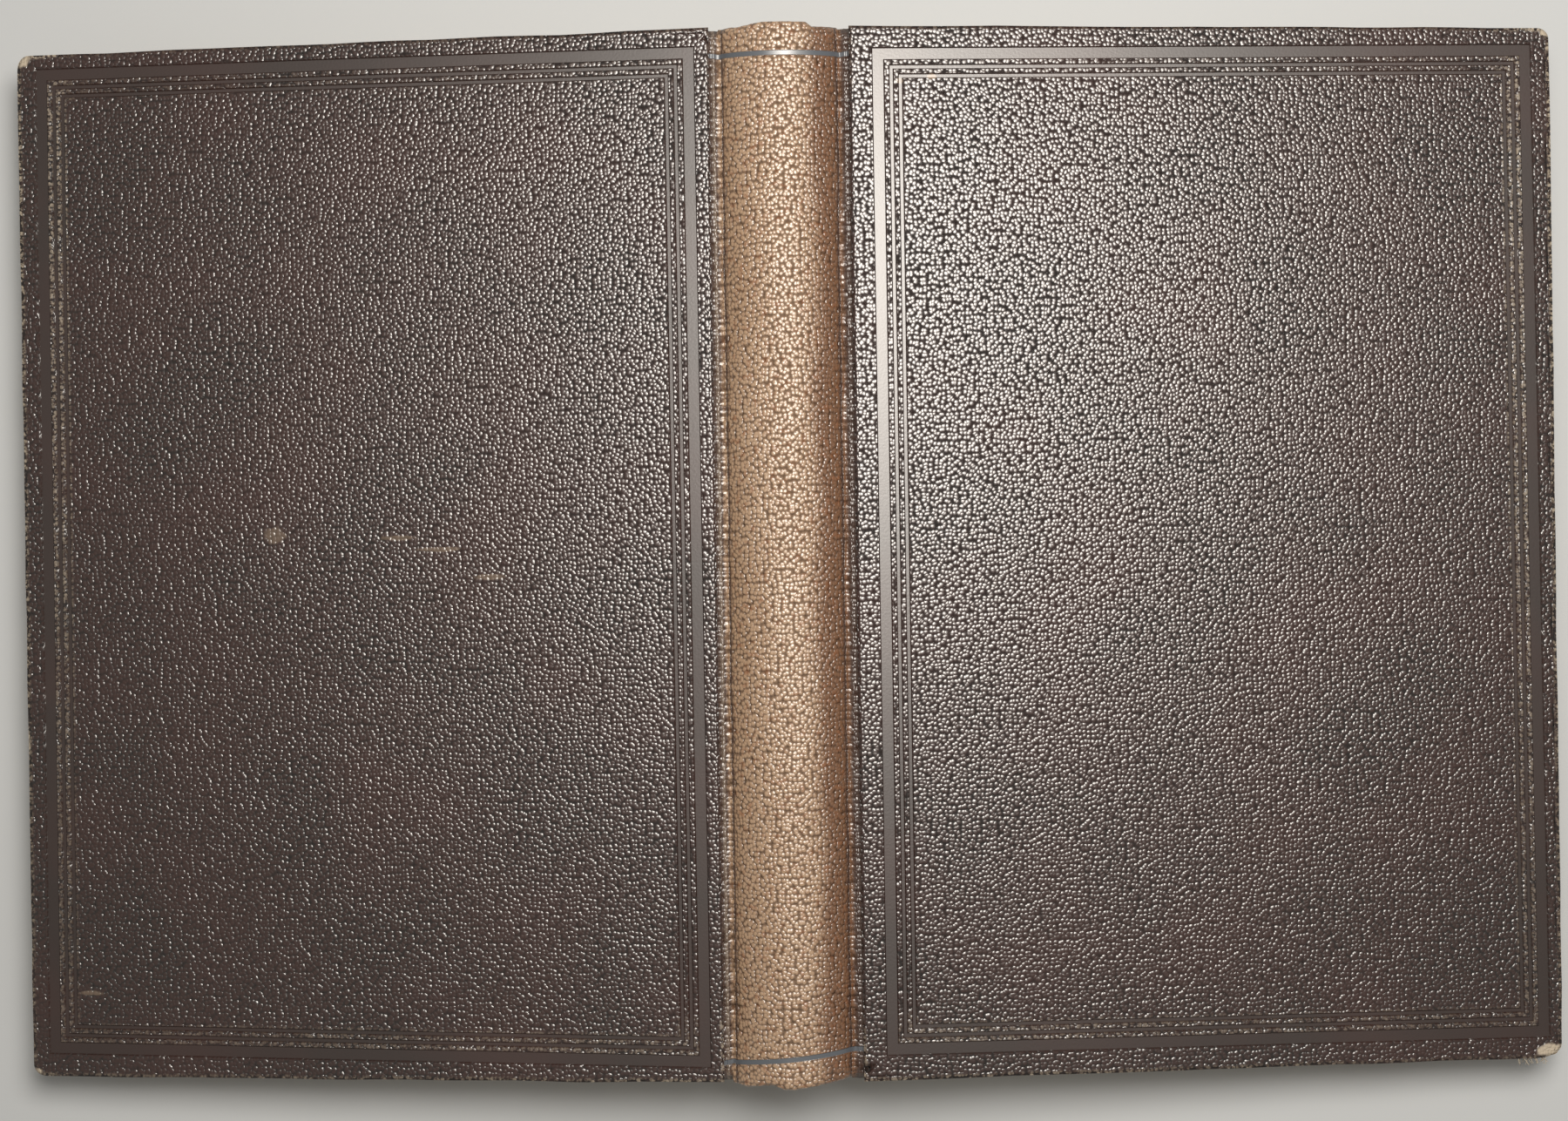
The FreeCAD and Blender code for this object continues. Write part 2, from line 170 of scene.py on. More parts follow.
def pebbles(tree, place, pitch):
    """The rolled grain of book cloth: a round pebble in each cell, steeper to its rim."""
    drift = add(tree, "TexNoise", {"Vector": place, "Scale": 0.45 / pitch, "Detail": 1.0}, out="Color")
    moved = add(tree, "VectorMath", {0: drift, 1: (0.6 * pitch, 0.6 * pitch, 0.0), 2: place},
                operation="MULTIPLY_ADD")
    cell = add(tree, "TexVoronoi", {"Vector": moved, "Scale": 1.0 / pitch, "Randomness": 0.8},
               out="Distance", voronoi_dimensions="2D")
    square = add(tree, "Math", {0: cell, 1: cell}, operation="MULTIPLY")
    steeper = add(tree, "Math", {0: square, 1: -2.0, 2: -2.2}, operation="MULTIPLY_ADD")
    return add(tree, "Math", {0: square, 1: steeper, 2: 1.0}, operation="MULTIPLY_ADD")


def patch(tree, place, where, reach, ragged):
    """A worn or marked patch round a point, 1 in its middle and 0 outside, with a ragged rim."""
    across = add(tree, "VectorMath", {0: place, 1: (*where, 0.0)}, operation="SUBTRACT")
    scaled = add(tree, "VectorMath", {0: across, 1: (1 / reach[0], 1 / reach[1], 0.0)}, operation="MULTIPLY")
    far = add(tree, "VectorMath", {0: scaled}, out="Value", operation="LENGTH")
    rough = add(tree, "Math", {0: ragged, 1: 0.9, 2: far}, operation="MULTIPLY_ADD")
    return add(tree, "MapRange", {"Value": rough, "From Min": 1.55, "From Max": 1.1},
               interpolation_type="SMOOTHSTEP")


def grained_cloth(name, worn_places, marks):
    """Starched book cloth, rolled with a morocco grain: glossy pebbles that catch the light one by one; painted
    shade darkens the creases between them.
    """
    material, tree, shader = new_material(name, Roughness=0.29, IOR=1.7, Specular_IOR_Level=1.0)
    shader.inputs["Specular Tint"].default_value = linear("fff8ef")
    uv = add(tree, "TexCoord", out="UV")
    place = add(tree, "VectorMath", {0: uv, "Scale": 1000.0}, operation="SCALE")
    grain = add(tree, "Attribute", out="Fac", attribute_name="grain")
    rub = add(tree, "Attribute", out="Fac", attribute_name="rub")
    # Pebbles of 0.76 mm; the weave below them is finer than the picture shows
    dome = pebbles(tree, place, 0.76)
    fine = add(tree, "TexNoise", {"Vector": place, "Scale": 2.2, "Detail": 3.0}, out="Fac")
    broad = add(tree, "TexNoise", {"Vector": place, "Scale": 0.035, "Detail": 3.0}, out="Fac")
    speck = add(tree, "TexNoise", {"Vector": place, "Scale": 0.9, "Detail": 2.0}, out="Fac")

    raised = add(tree, "Math", {0: dome, 1: grain}, operation="MULTIPLY")
    # Where the stamp pressed the grain flat, only the fine weave is left, and the cloth is duller
    pressed = add(tree, "MapRange", {"Value": grain, "To Min": 0.2, "To Max": 0.04})
    height = add(tree, "Math", {0: fine, 1: pressed, 2: raised}, operation="MULTIPLY_ADD")
    bump = add(tree, "Bump", {"Height": height, "Distance": 0.000066, "Strength": 1.0}, out="Normal")
    tree.links.new(bump, shader.inputs["Normal"])

    # The pebble tops are lighter and the creases between them darker: painted shade
    top_shade_and_wear_mask = add(tree, "MapRange", {"Value": dome, "From Min": 0.3, "From Max": 0.6})
    painted_crease_shade_or_top = add(tree, "Mix", {0: top_shade_and_wear_mask, 6: linear("1a0d0a"), 7: linear("301812")}, out=2,
                        data_type="RGBA")
    smooth = add(tree, "Mix", {0: fine, 6: linear("22130f"), 7: linear("2e1b15")}, out=2, data_type="RGBA")
    base = add(tree, "Mix", {0: grain, 6: smooth, 7: painted_crease_shade_or_top}, out=2, data_type="RGBA")
    redder = add(tree, "MapRange", {"Value": broad, "From Min": 0.4, "From Max": 0.65, "To Max": 0.5})
    colour = add(tree, "Mix", {0: redder, 6: base, 7: linear("3c1b14")}, out=2, data_type="RGBA")

    # Wear comes through first on the tops of the pebbles along edges; these pale dots on the raised lines are
    # partly wear and partly a painted highlight
    shown = add(tree, "Math", {0: speck, 1: fine}, operation="ADD")
    patchy = add(tree, "MapRange", {"Value": shown, "From Min": 0.85, "From Max": 1.2})
    dotted_wear_and_glint = add(tree, "Math", {0: patchy, 1: top_shade_and_wear_mask}, operation="MULTIPLY")
    wear_and_painted_glint = add(tree, "Math", {0: dotted_wear_and_glint, 1: rub}, operation="MULTIPLY", use_clamp=True)
    for where, reach in worn_places:
        spot = patch(tree, place, where, reach, speck)
        wear_and_painted_glint = add(tree, "Math", {0: wear_and_painted_glint, 1: spot}, operation="MAXIMUM")
    colour = add(tree, "Mix", {0: wear_and_painted_glint, 6: colour, 7: linear("c4b196")}, out=2, data_type="RGBA")
    for where, reach, strength in marks:
        spot = patch(tree, place, where, reach, speck)
        mark = add(tree, "Math", {0: spot, 1: strength}, operation="MULTIPLY")
        colour = add(tree, "Mix", {0: mark, 6: colour, 7: linear("a58c72")}, out=2, data_type="RGBA")
    tree.links.new(colour, shader.inputs["Base Color"])
    gloss = add(tree, "MapRange", {"Value": wear_and_painted_glint, "To Min": 0.29, "To Max": 0.8})
    duller = add(tree, "Math", {0: pressed, 1: 0.5, 2: gloss}, operation="MULTIPLY_ADD")
    tree.links.new(duller, shader.inputs["Roughness"])
    return material


def faded_cloth(name):
    """The same cloth on the spine, bleached tan by light and rubbed to its threads."""
    material, tree, shader = new_material(name, Roughness=0.34, IOR=1.7, Specular_IOR_Level=1.0)
    shader.inputs["Specular Tint"].default_value = linear("fff8ef")
    uv = add(tree, "TexCoord", out="UV")
    place = add(tree, "VectorMath", {0: uv, "Scale": 1000.0}, operation="SCALE")
    axes = add(tree, "SeparateXYZ", {0: place}).node.outputs
    dome = pebbles(tree, place, 0.76)
    fine = add(tree, "TexNoise", {"Vector": place, "Scale": 2.2, "Detail": 3.0}, out="Fac")
    stretched = add(tree, "VectorMath", {0: place, 1: (0.16, 0.03, 1.0)}, operation="MULTIPLY")
    streak = add(tree, "TexNoise", {"Vector": stretched, "Scale": 1.0, "Detail": 4.0}, out="Fac")
    speck = add(tree, "TexNoise", {"Vector": place, "Scale": 0.7, "Detail": 3.0}, out="Fac")
    # Threads across the spine; 0.36 mm apart in the cloth, drawn at 0.8 mm so that they show
    tilt = add(tree, "Math", {0: axes[1], 1: 2 * math.pi / 0.8}, operation="MULTIPLY")
    thread = add(tree, "Math", {0: tilt}, operation="SINE")

    # The fillets stamped across the spine near head and tail
    arch = add(tree, "Math", {0: axes[0], 1: axes[0]}, operation="MULTIPLY")
    fillets = None
    for line, bow, slant in ((90.0, 0.004, 0.0), (-90.6, -0.002, 0.09)):
        rise = add(tree, "Math", {0: arch, 1: bow, 2: line}, operation="MULTIPLY_ADD")
        centre = add(tree, "Math", {0: axes[0], 1: slant, 2: rise}, operation="MULTIPLY_ADD")
        gap = add(tree, "Math", {0: axes[1], 1: centre}, operation="SUBTRACT")
        away = add(tree, "Math", {0: gap}, operation="ABSOLUTE")
        band = add(tree, "MapRange", {"Value": away, "From Min": 0.5, "From Max": 0.38})
        fillets = band if fillets is None else add(tree, "Math", {0: fillets, 1: band}, operation="MAXIMUM")

    threads = add(tree, "Math", {0: thread, 1: 0.04, 2: dome}, operation="MULTIPLY_ADD")
    rougher = add(tree, "Math", {0: fine, 1: 0.8, 2: threads}, operation="MULTIPLY_ADD")
    kept = add(tree, "Math", {0: 1.0, 1: fillets}, operation="SUBTRACT")
    height = add(tree, "Math", {0: rougher, 1: kept}, operation="MULTIPLY")
    bump = add(tree, "Bump", {"Height": height, "Distance": 0.00011, "Strength": 1.0}, out="Normal")
    tree.links.new(bump, shader.inputs["Normal"])

    # Palest left of the middle, red-brown towards the front cover, and dark in the joints, partly dirt and partly
    # painted shade
    side = add(tree, "Math", {0: streak, 1: 7.0, 2: axes[0]}, operation="MULTIPLY_ADD")
    to_right = add(tree, "MapRange", {"Value": side, "From Min": 6.5, "From Max": 11.5},
                   interpolation_type="SMOOTHSTEP")
    tan = add(tree, "Mix", {0: streak, 6: linear("a8825f"), 7: linear("c9a786")}, out=2, data_type="RGBA")
    body = add(tree, "Mix", {0: to_right, 6: tan, 7: linear("7f573a")}, out=2, data_type="RGBA")
    # Darker in the creases between pebbles: painted shade
    painted_deep_crease_shade = add(tree, "MapRange", {"Value": dome, "From Min": 0.7, "From Max": 0.35, "To Max": 0.6})
    colour = add(tree, "Mix", {0: painted_deep_crease_shade, 6: body, 7: linear("60422e")}, out=2, data_type="RGBA")
    orange = add(tree, "MapRange", {"Value": speck, "From Min": 0.55, "From Max": 0.7, "To Max": 0.6})
    colour = add(tree, "Mix", {0: orange, 6: colour, 7: linear("94582f")}, out=2, data_type="RGBA")
    # Dark in the joints: dirt, and painted shade in the crease
    across = add(tree, "Math", {0: axes[0]}, operation="ABSOLUTE")
    ragged = add(tree, "Math", {0: speck, 1: 1.2, 2: across}, operation="MULTIPLY_ADD")
    joint = add(tree, "MapRange", {"Value": ragged, "From Min": 11.5, "From Max": 12.1})
    colour = add(tree, "Mix", {0: joint, 6: colour, 7: linear("493329")}, out=2, data_type="RGBA")
    # A rubbed ridge runs down the back cover's joint
    from_ridge = add(tree, "Math", {0: axes[0], 1: 11.95}, operation="ADD")
    off_ridge = add(tree, "Math", {0: from_ridge}, operation="ABSOLUTE")
    ridge = add(tree, "MapRange", {"Value": off_ridge, "From Min": 0.4, "From Max": 0.2, "To Max": 0.8})
    rubbed = add(tree, "Math", {0: ridge, 1: fine}, operation="MULTIPLY")
    colour = add(tree, "Mix", {0: rubbed, 6: colour, 7: linear("b09a84")}, out=2, data_type="RGBA")
    colour = add(tree, "Mix", {0: fillets, 6: colour, 7: linear("5d6064")}, out=2, data_type="RGBA")
    tree.links.new(colour, shader.inputs["Base Color"])
    return material


def plain_paper(name, light, dark, blotch, edge_lines=False):
    """Old rag paper, browned and spotted; the edges of the leaves show as lines, with painted shade in the gaps
    between them.
    """
    material, tree, shader = new_material(name, Roughness=0.85, IOR=1.45)
    object_place = add(tree, "TexCoord", out="Object")
    place = add(tree, "VectorMath", {0: object_place, "Scale": 1000.0}, operation="SCALE")
    cloudy = add(tree, "TexNoise", {"Vector": place, "Scale": 0.03, "Detail": 5.0}, out="Fac")
    fibre = add(tree, "TexNoise", {"Vector": place, "Scale": 1.4, "Detail": 4.0}, out="Fac")
    spots = add(tree, "TexNoise", {"Vector": place, "Scale": 0.22, "Detail": 2.0}, out="Fac")
    colour = add(tree, "Mix", {0: cloudy, 6: linear(dark), 7: linear(light)}, out=2, data_type="RGBA")
    foxed = add(tree, "MapRange", {"Value": spots, "From Min": 0.66, "From Max": 0.74, "To Max": 0.6})
    colour = add(tree, "Mix", {0: foxed, 6: colour, 7: linear(blotch)}, out=2, data_type="RGBA")
    height = fibre
    if edge_lines:
        leaf = add(tree, "Attribute", out="Fac", attribute_name="leaf")
        # About 150 leaves to each half; drawn as 75 so that they show
        count = add(tree, "Math", {0: leaf, 1: 75.0}, operation="MULTIPLY")
        stack = add(tree, "TexNoise", {"W": count, "Scale": 1.0, "Detail": 1.0}, out="Fac",
                    noise_dimensions="1D")
        line = add(tree, "MapRange", {"Value": stack, "From Min": 0.3, "From Max": 0.6})
        # Darker in the gaps between the leaves: painted shade
        painted_gap_shade = add(tree, "MapRange", {"Value": line, "To Min": 0.75, "To Max": 0.0})
        colour = add(tree, "Mix", {0: painted_gap_shade, 6: colour, 7: linear("6f5a3e")}, out=2, data_type="RGBA")
        height = add(tree, "Math", {0: line, 1: 3.0, 2: fibre}, operation="MULTIPLY_ADD")
    bump = add(tree, "Bump", {"Height": height, "Distance": 0.00004, "Strength": 0.8}, out="Normal")
    tree.links.new(colour, shader.inputs["Base Color"])
    tree.links.new(bump, shader.inputs["Normal"])
    return material


def woven(name, light, dark, pitch, roughness=0.8):
    """A plain weave, thread over thread, with painted shade where the threads dip under each other."""
    material, tree, shader = new_material(name, Roughness=roughness, IOR=1.45)
    object_place = add(tree, "TexCoord", out="Object")
    turns = add(tree, "VectorMath", {0: object_place, "Scale": 2000.0 * math.pi / pitch}, operation="SCALE")
    axes = add(tree, "SeparateXYZ", {0: turns}).node.outputs
    warp = add(tree, "Math", {0: axes[0]}, operation="SINE")
    weft = add(tree, "Math", {0: axes[1]}, operation="SINE")
    crossing = add(tree, "Math", {0: warp, 1: weft}, operation="MULTIPLY")
    height = add(tree, "MapRange", {"Value": crossing, "From Min": -1.0})
    # Lighter on the raised threads and darker where they dip: painted shade
    colour = add(tree, "Mix", {0: height, 6: linear(dark), 7: linear(light)}, out=2, data_type="RGBA")
    bump = add(tree, "Bump", {"Height": height, "Distance": 0.0001, "Strength": 0.8}, out="Normal")
    tree.links.new(colour, shader.inputs["Base Color"])
    tree.links.new(bump, shader.inputs["Normal"])
    return material


def pressed_card(name, light, dark):
    """Strawboard or grey card: coarse pulp with darker flecks."""
    material, tree, shader = new_material(name, Roughness=0.9, IOR=1.45)
    object_place = add(tree, "TexCoord", out="Object")
    place = add(tree, "VectorMath", {0: object_place, "Scale": 1000.0}, operation="SCALE")
    pulp = add(tree, "TexNoise", {"Vector": place, "Scale": 1.6, "Detail": 5.0}, out="Fac")
    colour = add(tree, "Mix", {0: pulp, 6: linear(dark), 7: linear(light)}, out=2, data_type="RGBA")
    bump = add(tree, "Bump", {"Height": pulp, "Distance": 0.0001, "Strength": 0.7}, out="Normal")
    tree.links.new(colour, shader.inputs["Base Color"])
    tree.links.new(bump, shader.inputs["Normal"])
    return material


def striped_band(name):
    """The woven end band: silk wound in two colours, 1 mm a stripe, faded."""
    material, tree, shader = new_material(name, Roughness=0.6, IOR=1.5)
    object_place = add(tree, "TexCoord", out="Object")
    turns = add(tree, "VectorMath", {0: object_place, "Scale": 1000.0 * math.pi}, operation="SCALE")
    axes = add(tree, "SeparateXYZ", {0: turns}).node.outputs
    wave = add(tree, "Math", {0: axes[0]}, operation="SINE")
    stripe = add(tree, "MapRange", {"Value": wave, "From Min": -0.25, "From Max": 0.25})
    colour = add(tree, "Mix", {0: stripe, 6: linear("c9b78e"), 7: linear("7d4a34")}, out=2, data_type="RGBA")
    finer = add(tree, "Math", {0: axes[0], 1: 4.0}, operation="MULTIPLY")
    thread = add(tree, "Math", {0: finer}, operation="SINE")
    bump = add(tree, "Bump", {"Height": thread, "Distance": 0.00008, "Strength": 0.8}, out="Normal")
    tree.links.new(colour, shader.inputs["Base Color"])
    tree.links.new(bump, shader.inputs["Normal"])
    return material


# Cover cloths

def stamp_frame(bm, face, grain, rub, skew):
    """Sink the nested lines of the blind-stamped frame into a cover's face, mitred at the corners."""
    bmesh.ops.inset_region(bm, faces=[face], thickness=RUBBED_RIM, use_even_offset=True,
                             use_boundary=True)
    for vert in face.verts:
        vert[grain], vert[rub] = 1.0, 0.0
    for number, (width, sunk) in enumerate(STAMPED_BANDS):
        bmesh.ops.inset_region(bm, faces=[face], thickness=width - STAMP_SIDE, use_even_offset=True,
                             use_boundary=True)
        if number == 0:
            for vert in face.verts:
                out, up = skew[(1 if vert.co.x > 60 else -1, 1 if vert.co.y > 0 else -1)]
                vert.co += Vector((out, up, 0))
        for vert in face.verts:
            vert[grain] = 0.0 if sunk else 1.0
            vert[rub] = 0.0 if sunk or number == 0 else 0.35
        step = STAMP_DEPTH if sunk else -STAMP_DEPTH
        bmesh.ops.inset_region(bm, faces=[face], thickness=STAMP_SIDE, depth=step, use_even_offset=True,
                             use_boundary=True)
        for vert in face.verts:
            vert[grain] = 1.0 if sunk else 0.0
            vert[rub] = 0.35 if sunk else 0.0
    bmesh.ops.inset_region(bm, faces=[face], thickness=0.5, use_even_offset=True, use_boundary=True)
    for vert in face.verts:
        vert[grain], vert[rub] = 1.0, 0.0


def wrap_over_board(bm, face_rim, grain, rub):
    """Take the cloth over the board's edges and turn it in on three sides."""
    made = bmesh.ops.extrude_edge_only(bm, edges=face_rim)["geom"]
    low = [item for item in made if isinstance(item, bmesh.types.BMVert)]
    bmesh.ops.translate(bm, vec=(0, 0, -2 * FACE), verts=low)
    turned = [item for item in made if isinstance(item, bmesh.types.BMEdge) and item.is_boundary
              and max(vert.co.x for vert in item.verts) > FORE_EDGE - 1]
    made = bmesh.ops.extrude_edge_only(bm, edges=turned)["geom"]
    for vert in made:
        if isinstance(vert, bmesh.types.BMVert):
            vert.co.y -= math.copysign(TURN_IN, vert.co.y)
            if vert.co.x > FORE_EDGE - 1:
                vert.co.x -= TURN_IN
    for vert in bm.verts:
        if vert.co.z < FACE - 0.5:
            vert[grain], vert[rub] = 1.0, 0.0
    rims = [edge for edge in bm.edges if not edge.is_boundary and abs(edge.calc_face_angle(0.0)) > 1.2
            and abs(edge.verts[0].co.z - edge.verts[1].co.z) < 0.1]
    return rims


def knock_corners(bm, corners):
    """Round each fore-edge corner: its place, and how far it is rounded along each edge."""
    for end, along, up in corners:
        centre_x, centre_y = FORE_EDGE - along, HALF_HEIGHT - up
        for vert in bm.verts:
            across, over = (vert.co.x - centre_x) / along, (end * vert.co.y - centre_y) / up
            if across > 0 and over > 0:
                share = max(across, over) / math.hypot(across, over)
                vert.co.x = centre_x + across * share * along
                vert.co.y = end * (centre_y + over * share * up)


def unroll(bm):
    """Lay the cloth's own map out flat, in metres, so that the grain runs on over the edges."""
    layer = bm.loops.layers.uv.new("cloth")
    for face in bm.faces:
        for loop in face.loops:
            x, y, z = loop.vert.co
            down = FACE - z
            if x > FORE_EDGE - 0.7:
                x += down
            elif x < JOINT_EDGE + 0.3:
                x -= down
            if abs(y) > HALF_HEIGHT - 0.7:
                y += math.copysign(down, y)
            loop[layer].uv = (x * MM, y * MM)


def rubbing(x, toward_head):
    """How hard hands and shelves have rubbed a raised edge: most at the fore-edge and the tail."""
    if x > 121:
        return 1.3 + 0.5 * min(1.0, max(-1.0, toward_head / 60))
    if toward_head < -84:
        return 0.5 + 0.5 * (1 - x / 130)
    return 0.25 if toward_head > 84 else 0.0


def make_cover_cloth(name, side, corners, skew, material):
    """Cloth over a board: the stamped face, the rounded edges and the turn-ins."""
    bm = bmesh.new()
    grain = bm.verts.layers.float.new("grain")
    rub = bm.verts.layers.float.new("rub")
    bmesh.ops.create_grid(bm, x_segments=1, y_segments=1, size=1.0)
    bmesh.ops.scale(bm, vec=((FORE_EDGE - JOINT_EDGE) / 2, HALF_HEIGHT, 1), verts=bm.verts)
    bmesh.ops.translate(bm, vec=((FORE_EDGE + JOINT_EDGE) / 2, 0, FACE), verts=bm.verts)
    for vert in bm.verts:
        vert[grain], vert[rub] = 1.0, 1.0
    face_rim = bm.edges[:]
    stamp_frame(bm, next(iter(bm.faces)), grain, rub, skew)
    rims = wrap_over_board(bm, face_rim, grain, rub)
    bmesh.ops.recalc_face_normals(bm, faces=bm.faces)
    bmesh.ops.bevel(bm, geom=rims, offset=0.5, offset_type="OFFSET", affect="EDGES", segments=3,
                    profile=0.5, material=-1, clamp_overlap=True)
    near_edge = [0.7, 1.2, 1.8, 2.5, 3.6, 5.0, 6.6]
    cut_across(bm, [FORE_EDGE - gap for gap in near_edge] + [10 + 6.1 * step for step in range(20)], 0)
    rows = [HALF_HEIGHT - gap for gap in near_edge] + [3.2 + 6.1 * step for step in range(15)]
    cut_across(bm, [end * row for row in rows for end in (-1, 1)], 1)
    unroll(bm)
    knock_corners(bm, corners)
    for vert in bm.verts:
        x, y = vert.co.x, vert.co.y
        if vert[rub] > 0:
            vert[rub] *= rubbing(x, y * side)
        vert.co.z += 0.12 * ripple(x / 38, y / 38, side)
        if x > FORE_EDGE - 1.5:
            vert.co.x += 0.2 * ripple(y / 11, vert.co.z / 3, 4 + side)
        if abs(y) > HALF_HEIGHT - 1.5:
            vert.co.y += 0.2 * ripple(x / 11, vert.co.z / 3, 7 + side)
    bmesh.ops.transform(bm, matrix=cover_to_book(side), verts=bm.verts)
    piece = put_in_scene(bm, name, material)
    thicken(piece, CLOTH_THICKNESS)
    return piece


# Spine and joints

# Where the worn ends of the spine cloth stand, across the spine, as distances from the middle
HEAD_CAP = ((-11.5, 95.6), (-9, 95.5), (-7.5, 95.3), (-5.5, 95.5), (-3.3, 95.8), (0.3, 95.75), (4.9, 95.8),
            (5.5, 95.4), (6.3, 95.0), (8.9, 95.3), (10.8, 95.6), (11.5, 95.1))
TAIL_CAP = ((-11.5, 95.9), (-8.7, 96.2), (-6.3, 95.7), (-3.9, 95.4), (-2.0, 96.1), (0.0, 96.2), (2.8, 95.9),
            (5.2, 95.5), (7.2, 95.4), (11.5, 94.9))


def make_spine_cloth(material):
    """Cloth arched over the hollow back, rolled in at head and tail, dipping into the joints."""
    bm = bmesh.new()
    layer = bm.loops.layers.uv.new("cloth")
    bmesh.ops.create_grid(bm, x_segments=84, y_segments=220, size=1.0)
    reach = math.asin(SPINE_HALF_WIDTH / SPINE_RADIUS)
    # The roll's radius at head and tail, and how far the cloth goes on inside it
    roll, inside = 0.72, 9.0
    # The grid's share that covers the arch, and its share that covers the plain length
    arch, plain, plain_length, flange = 0.93, 0.72, 87, 0.75
    flat = {}
    for vert in bm.verts:
        across, along = vert.co.x, abs(vert.co.y)
        end = 1 if vert.co.y > 0 else -1
        angle = max(-1.0, min(1.0, across / arch)) * reach
        beyond = max(0.0, abs(across) - arch) / 0.07
        x_here = math.sin(angle) * SPINE_RADIUS + math.copysign(flange * beyond, across)
        length = between(HEAD_CAP if end > 0 else TAIL_CAP, x_here) - roll
        path = along / plain * plain_length
        if along >= plain:
            path = plain_length + (along - plain) / 0.28 * (length - plain_length + 2.3 + inside)
        turn = max(0.0, min(math.pi, (path - length) / roll))
        y = min(path, length) + roll * math.sin(turn) - max(0.0, path - length - roll * math.pi)
        drop = roll * (1 - math.cos(turn))
        flat[vert] = (x_here if beyond else angle * SPINE_RADIUS, end * path)
        lumps = 0.14 * ripple(x_here / 9, end * path / 16, 2.0)
        lumps += 0.07 * ripple(x_here / 3, end * path / 4, 5.0)
        ragged = 0.25 * ripple(x_here / 2.0, end * 7.0, 9.0) * max(0.0, 1 - abs(path - length) / 4)
        radius = SPINE_RADIUS - drop + lumps + ragged
        dip = 0.45 * beyond ** 0.7
        vert.co.x = math.sin(angle) * radius + math.copysign(flange * beyond, across)
        vert.co.x += 0.18 * ripple(end * path / 7, 0.5, 3.0 + math.copysign(1, across)) * abs(across) ** 6
        vert.co.z = SPINE_CENTRE + math.cos(angle) * radius - dip
        vert.co.y = end * (y + 0.1 * ripple(x_here / 1.2, end * 3.0, 12.0) * min(1.0, turn))
    write_map(bm, layer, flat)
    bmesh.ops.scale(bm, vec=(MM, MM, MM), verts=bm.verts)
    bmesh.ops.recalc_face_normals(bm, faces=bm.faces)
    piece = put_in_scene(bm, "spine_cover_cloth", material, sharp=60.0)
    thicken(piece, CLOTH_THICKNESS)
    return piece


# The joint's cross-section out from the spine: the crease, a low ridge, then the board's side
JOINT_LINE = ((10.5, 23.85), (11.0, 23.8), (11.4, 23.9), (11.9, 24.2), (12.25, 24.05), (12.8, 24.35))


def make_joint_cloth(name, side, material):
    """The strip of cloth between the spine and a board."""
    bm = bmesh.new()
    layer = bm.loops.layers.uv.new("cloth")
    bmesh.ops.create_grid(bm, x_segments=18, y_segments=120, size=1.0)
    flat = {}
    for vert in bm.verts:
        x = 10.5 + (vert.co.x + 1) / 2 * 2.3
        y = vert.co.y * 95.3
        flat[vert] = (side * x, y)
        fall = max(0.0, abs(y) - 94.6)
        z = between(JOINT_LINE, x) + 0.06 * ripple(x, y / 6, side) - fall
        vert.co = (side * x, y, z)
    write_map(bm, layer, flat)
    bmesh.ops.scale(bm, vec=(MM, MM, MM), verts=bm.verts)
    bmesh.ops.recalc_face_normals(bm, faces=bm.faces)
    piece = put_in_scene(bm, name, material, sharp=60.0)
    thicken(piece, CLOTH_THICKNESS)
    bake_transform(piece)
    return piece


# The fold of an endpaper at the joint, from the flyleaf round to the pastedown: (u, n)
ENDPAPER_FOLD = ((4.5, -1.97), (2.0, -1.96), (0.6, -1.95), (0.0, -1.93), (-0.2, -1.85), (0.0, -1.77),
                 (0.6, -1.74), (1.6, -1.73), (4.5, -1.73))


def make_endpaper_fold(name, side, material):
    """The endpaper's fold between flyleaf and pastedown."""
    bm = bmesh.new()
    bmesh.ops.create_grid(bm, x_segments=32, y_segments=24, size=1.0)
    for vert in bm.verts:
        place = (vert.co.x + 1) / 2 * (len(ENDPAPER_FOLD) - 1)
        first = min(int(place), len(ENDPAPER_FOLD) - 2)
        low, high = Vector(ENDPAPER_FOLD[first]), Vector(ENDPAPER_FOLD[first + 1])
        u, n = low.lerp(high, place - first)
        vert.co = (u, vert.co.y * HALF_LEAF_HEIGHT, n)
    matrix = cover_to_book(side)
    bmesh.ops.transform(bm, matrix=matrix, verts=bm.verts)
    bmesh.ops.recalc_face_normals(bm, faces=bm.faces)
    piece = put_in_scene(bm, name, material, sharp=80.0)
    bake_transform(piece)
    return piece


# Leaves

def leaf_place(across, depth):
    """A point in the block's section: across from the back to the fore-edge, depth from the outermost
    leaf of the front half to the innermost."""
    outer = ((0, 11.0, 22.9), (0.02, 11.0, 22.2), (0.05, 13.5, 21.5), (1.0, 138.77, 10.6))
    inner = ((0, 0.0, 20.5), (0.02, 0.05, 18.4), (0.045, 0.5, 17.2), (0.08, 0.5, 12.9), (0.095, 1.5, 7.96),
             (0.11, 4.28, 3.78), (0.125, 8.46, 0.98), (0.14, 13.4, 0.0), (1.0, 129.27, 0.0))
    top_shade_and_wear_mask = Vector([between([(key, x) for key, x, z in outer], across),
                  between([(key, z) for key, x, z in outer], across)])
    low = Vector([between([(key, x) for key, x, z in inner], across),
                  between([(key, z) for key, x, z in inner], across)])
    point = top_shade_and_wear_mask.lerp(low, depth)
    if across == 0:
        x = BACK_HALF_WIDTH * (1 - depth)
        point = Vector((x, BACK_MIDDLE + BACK_RADIUS - math.sqrt(BACK_RADIUS ** 2 - x * x)))
    bulge = 1.0 * math.sin(math.pi * depth) * max(0.0, (across - 0.6) / 0.4)
    return point.x - 1.35 * bulge, point.y


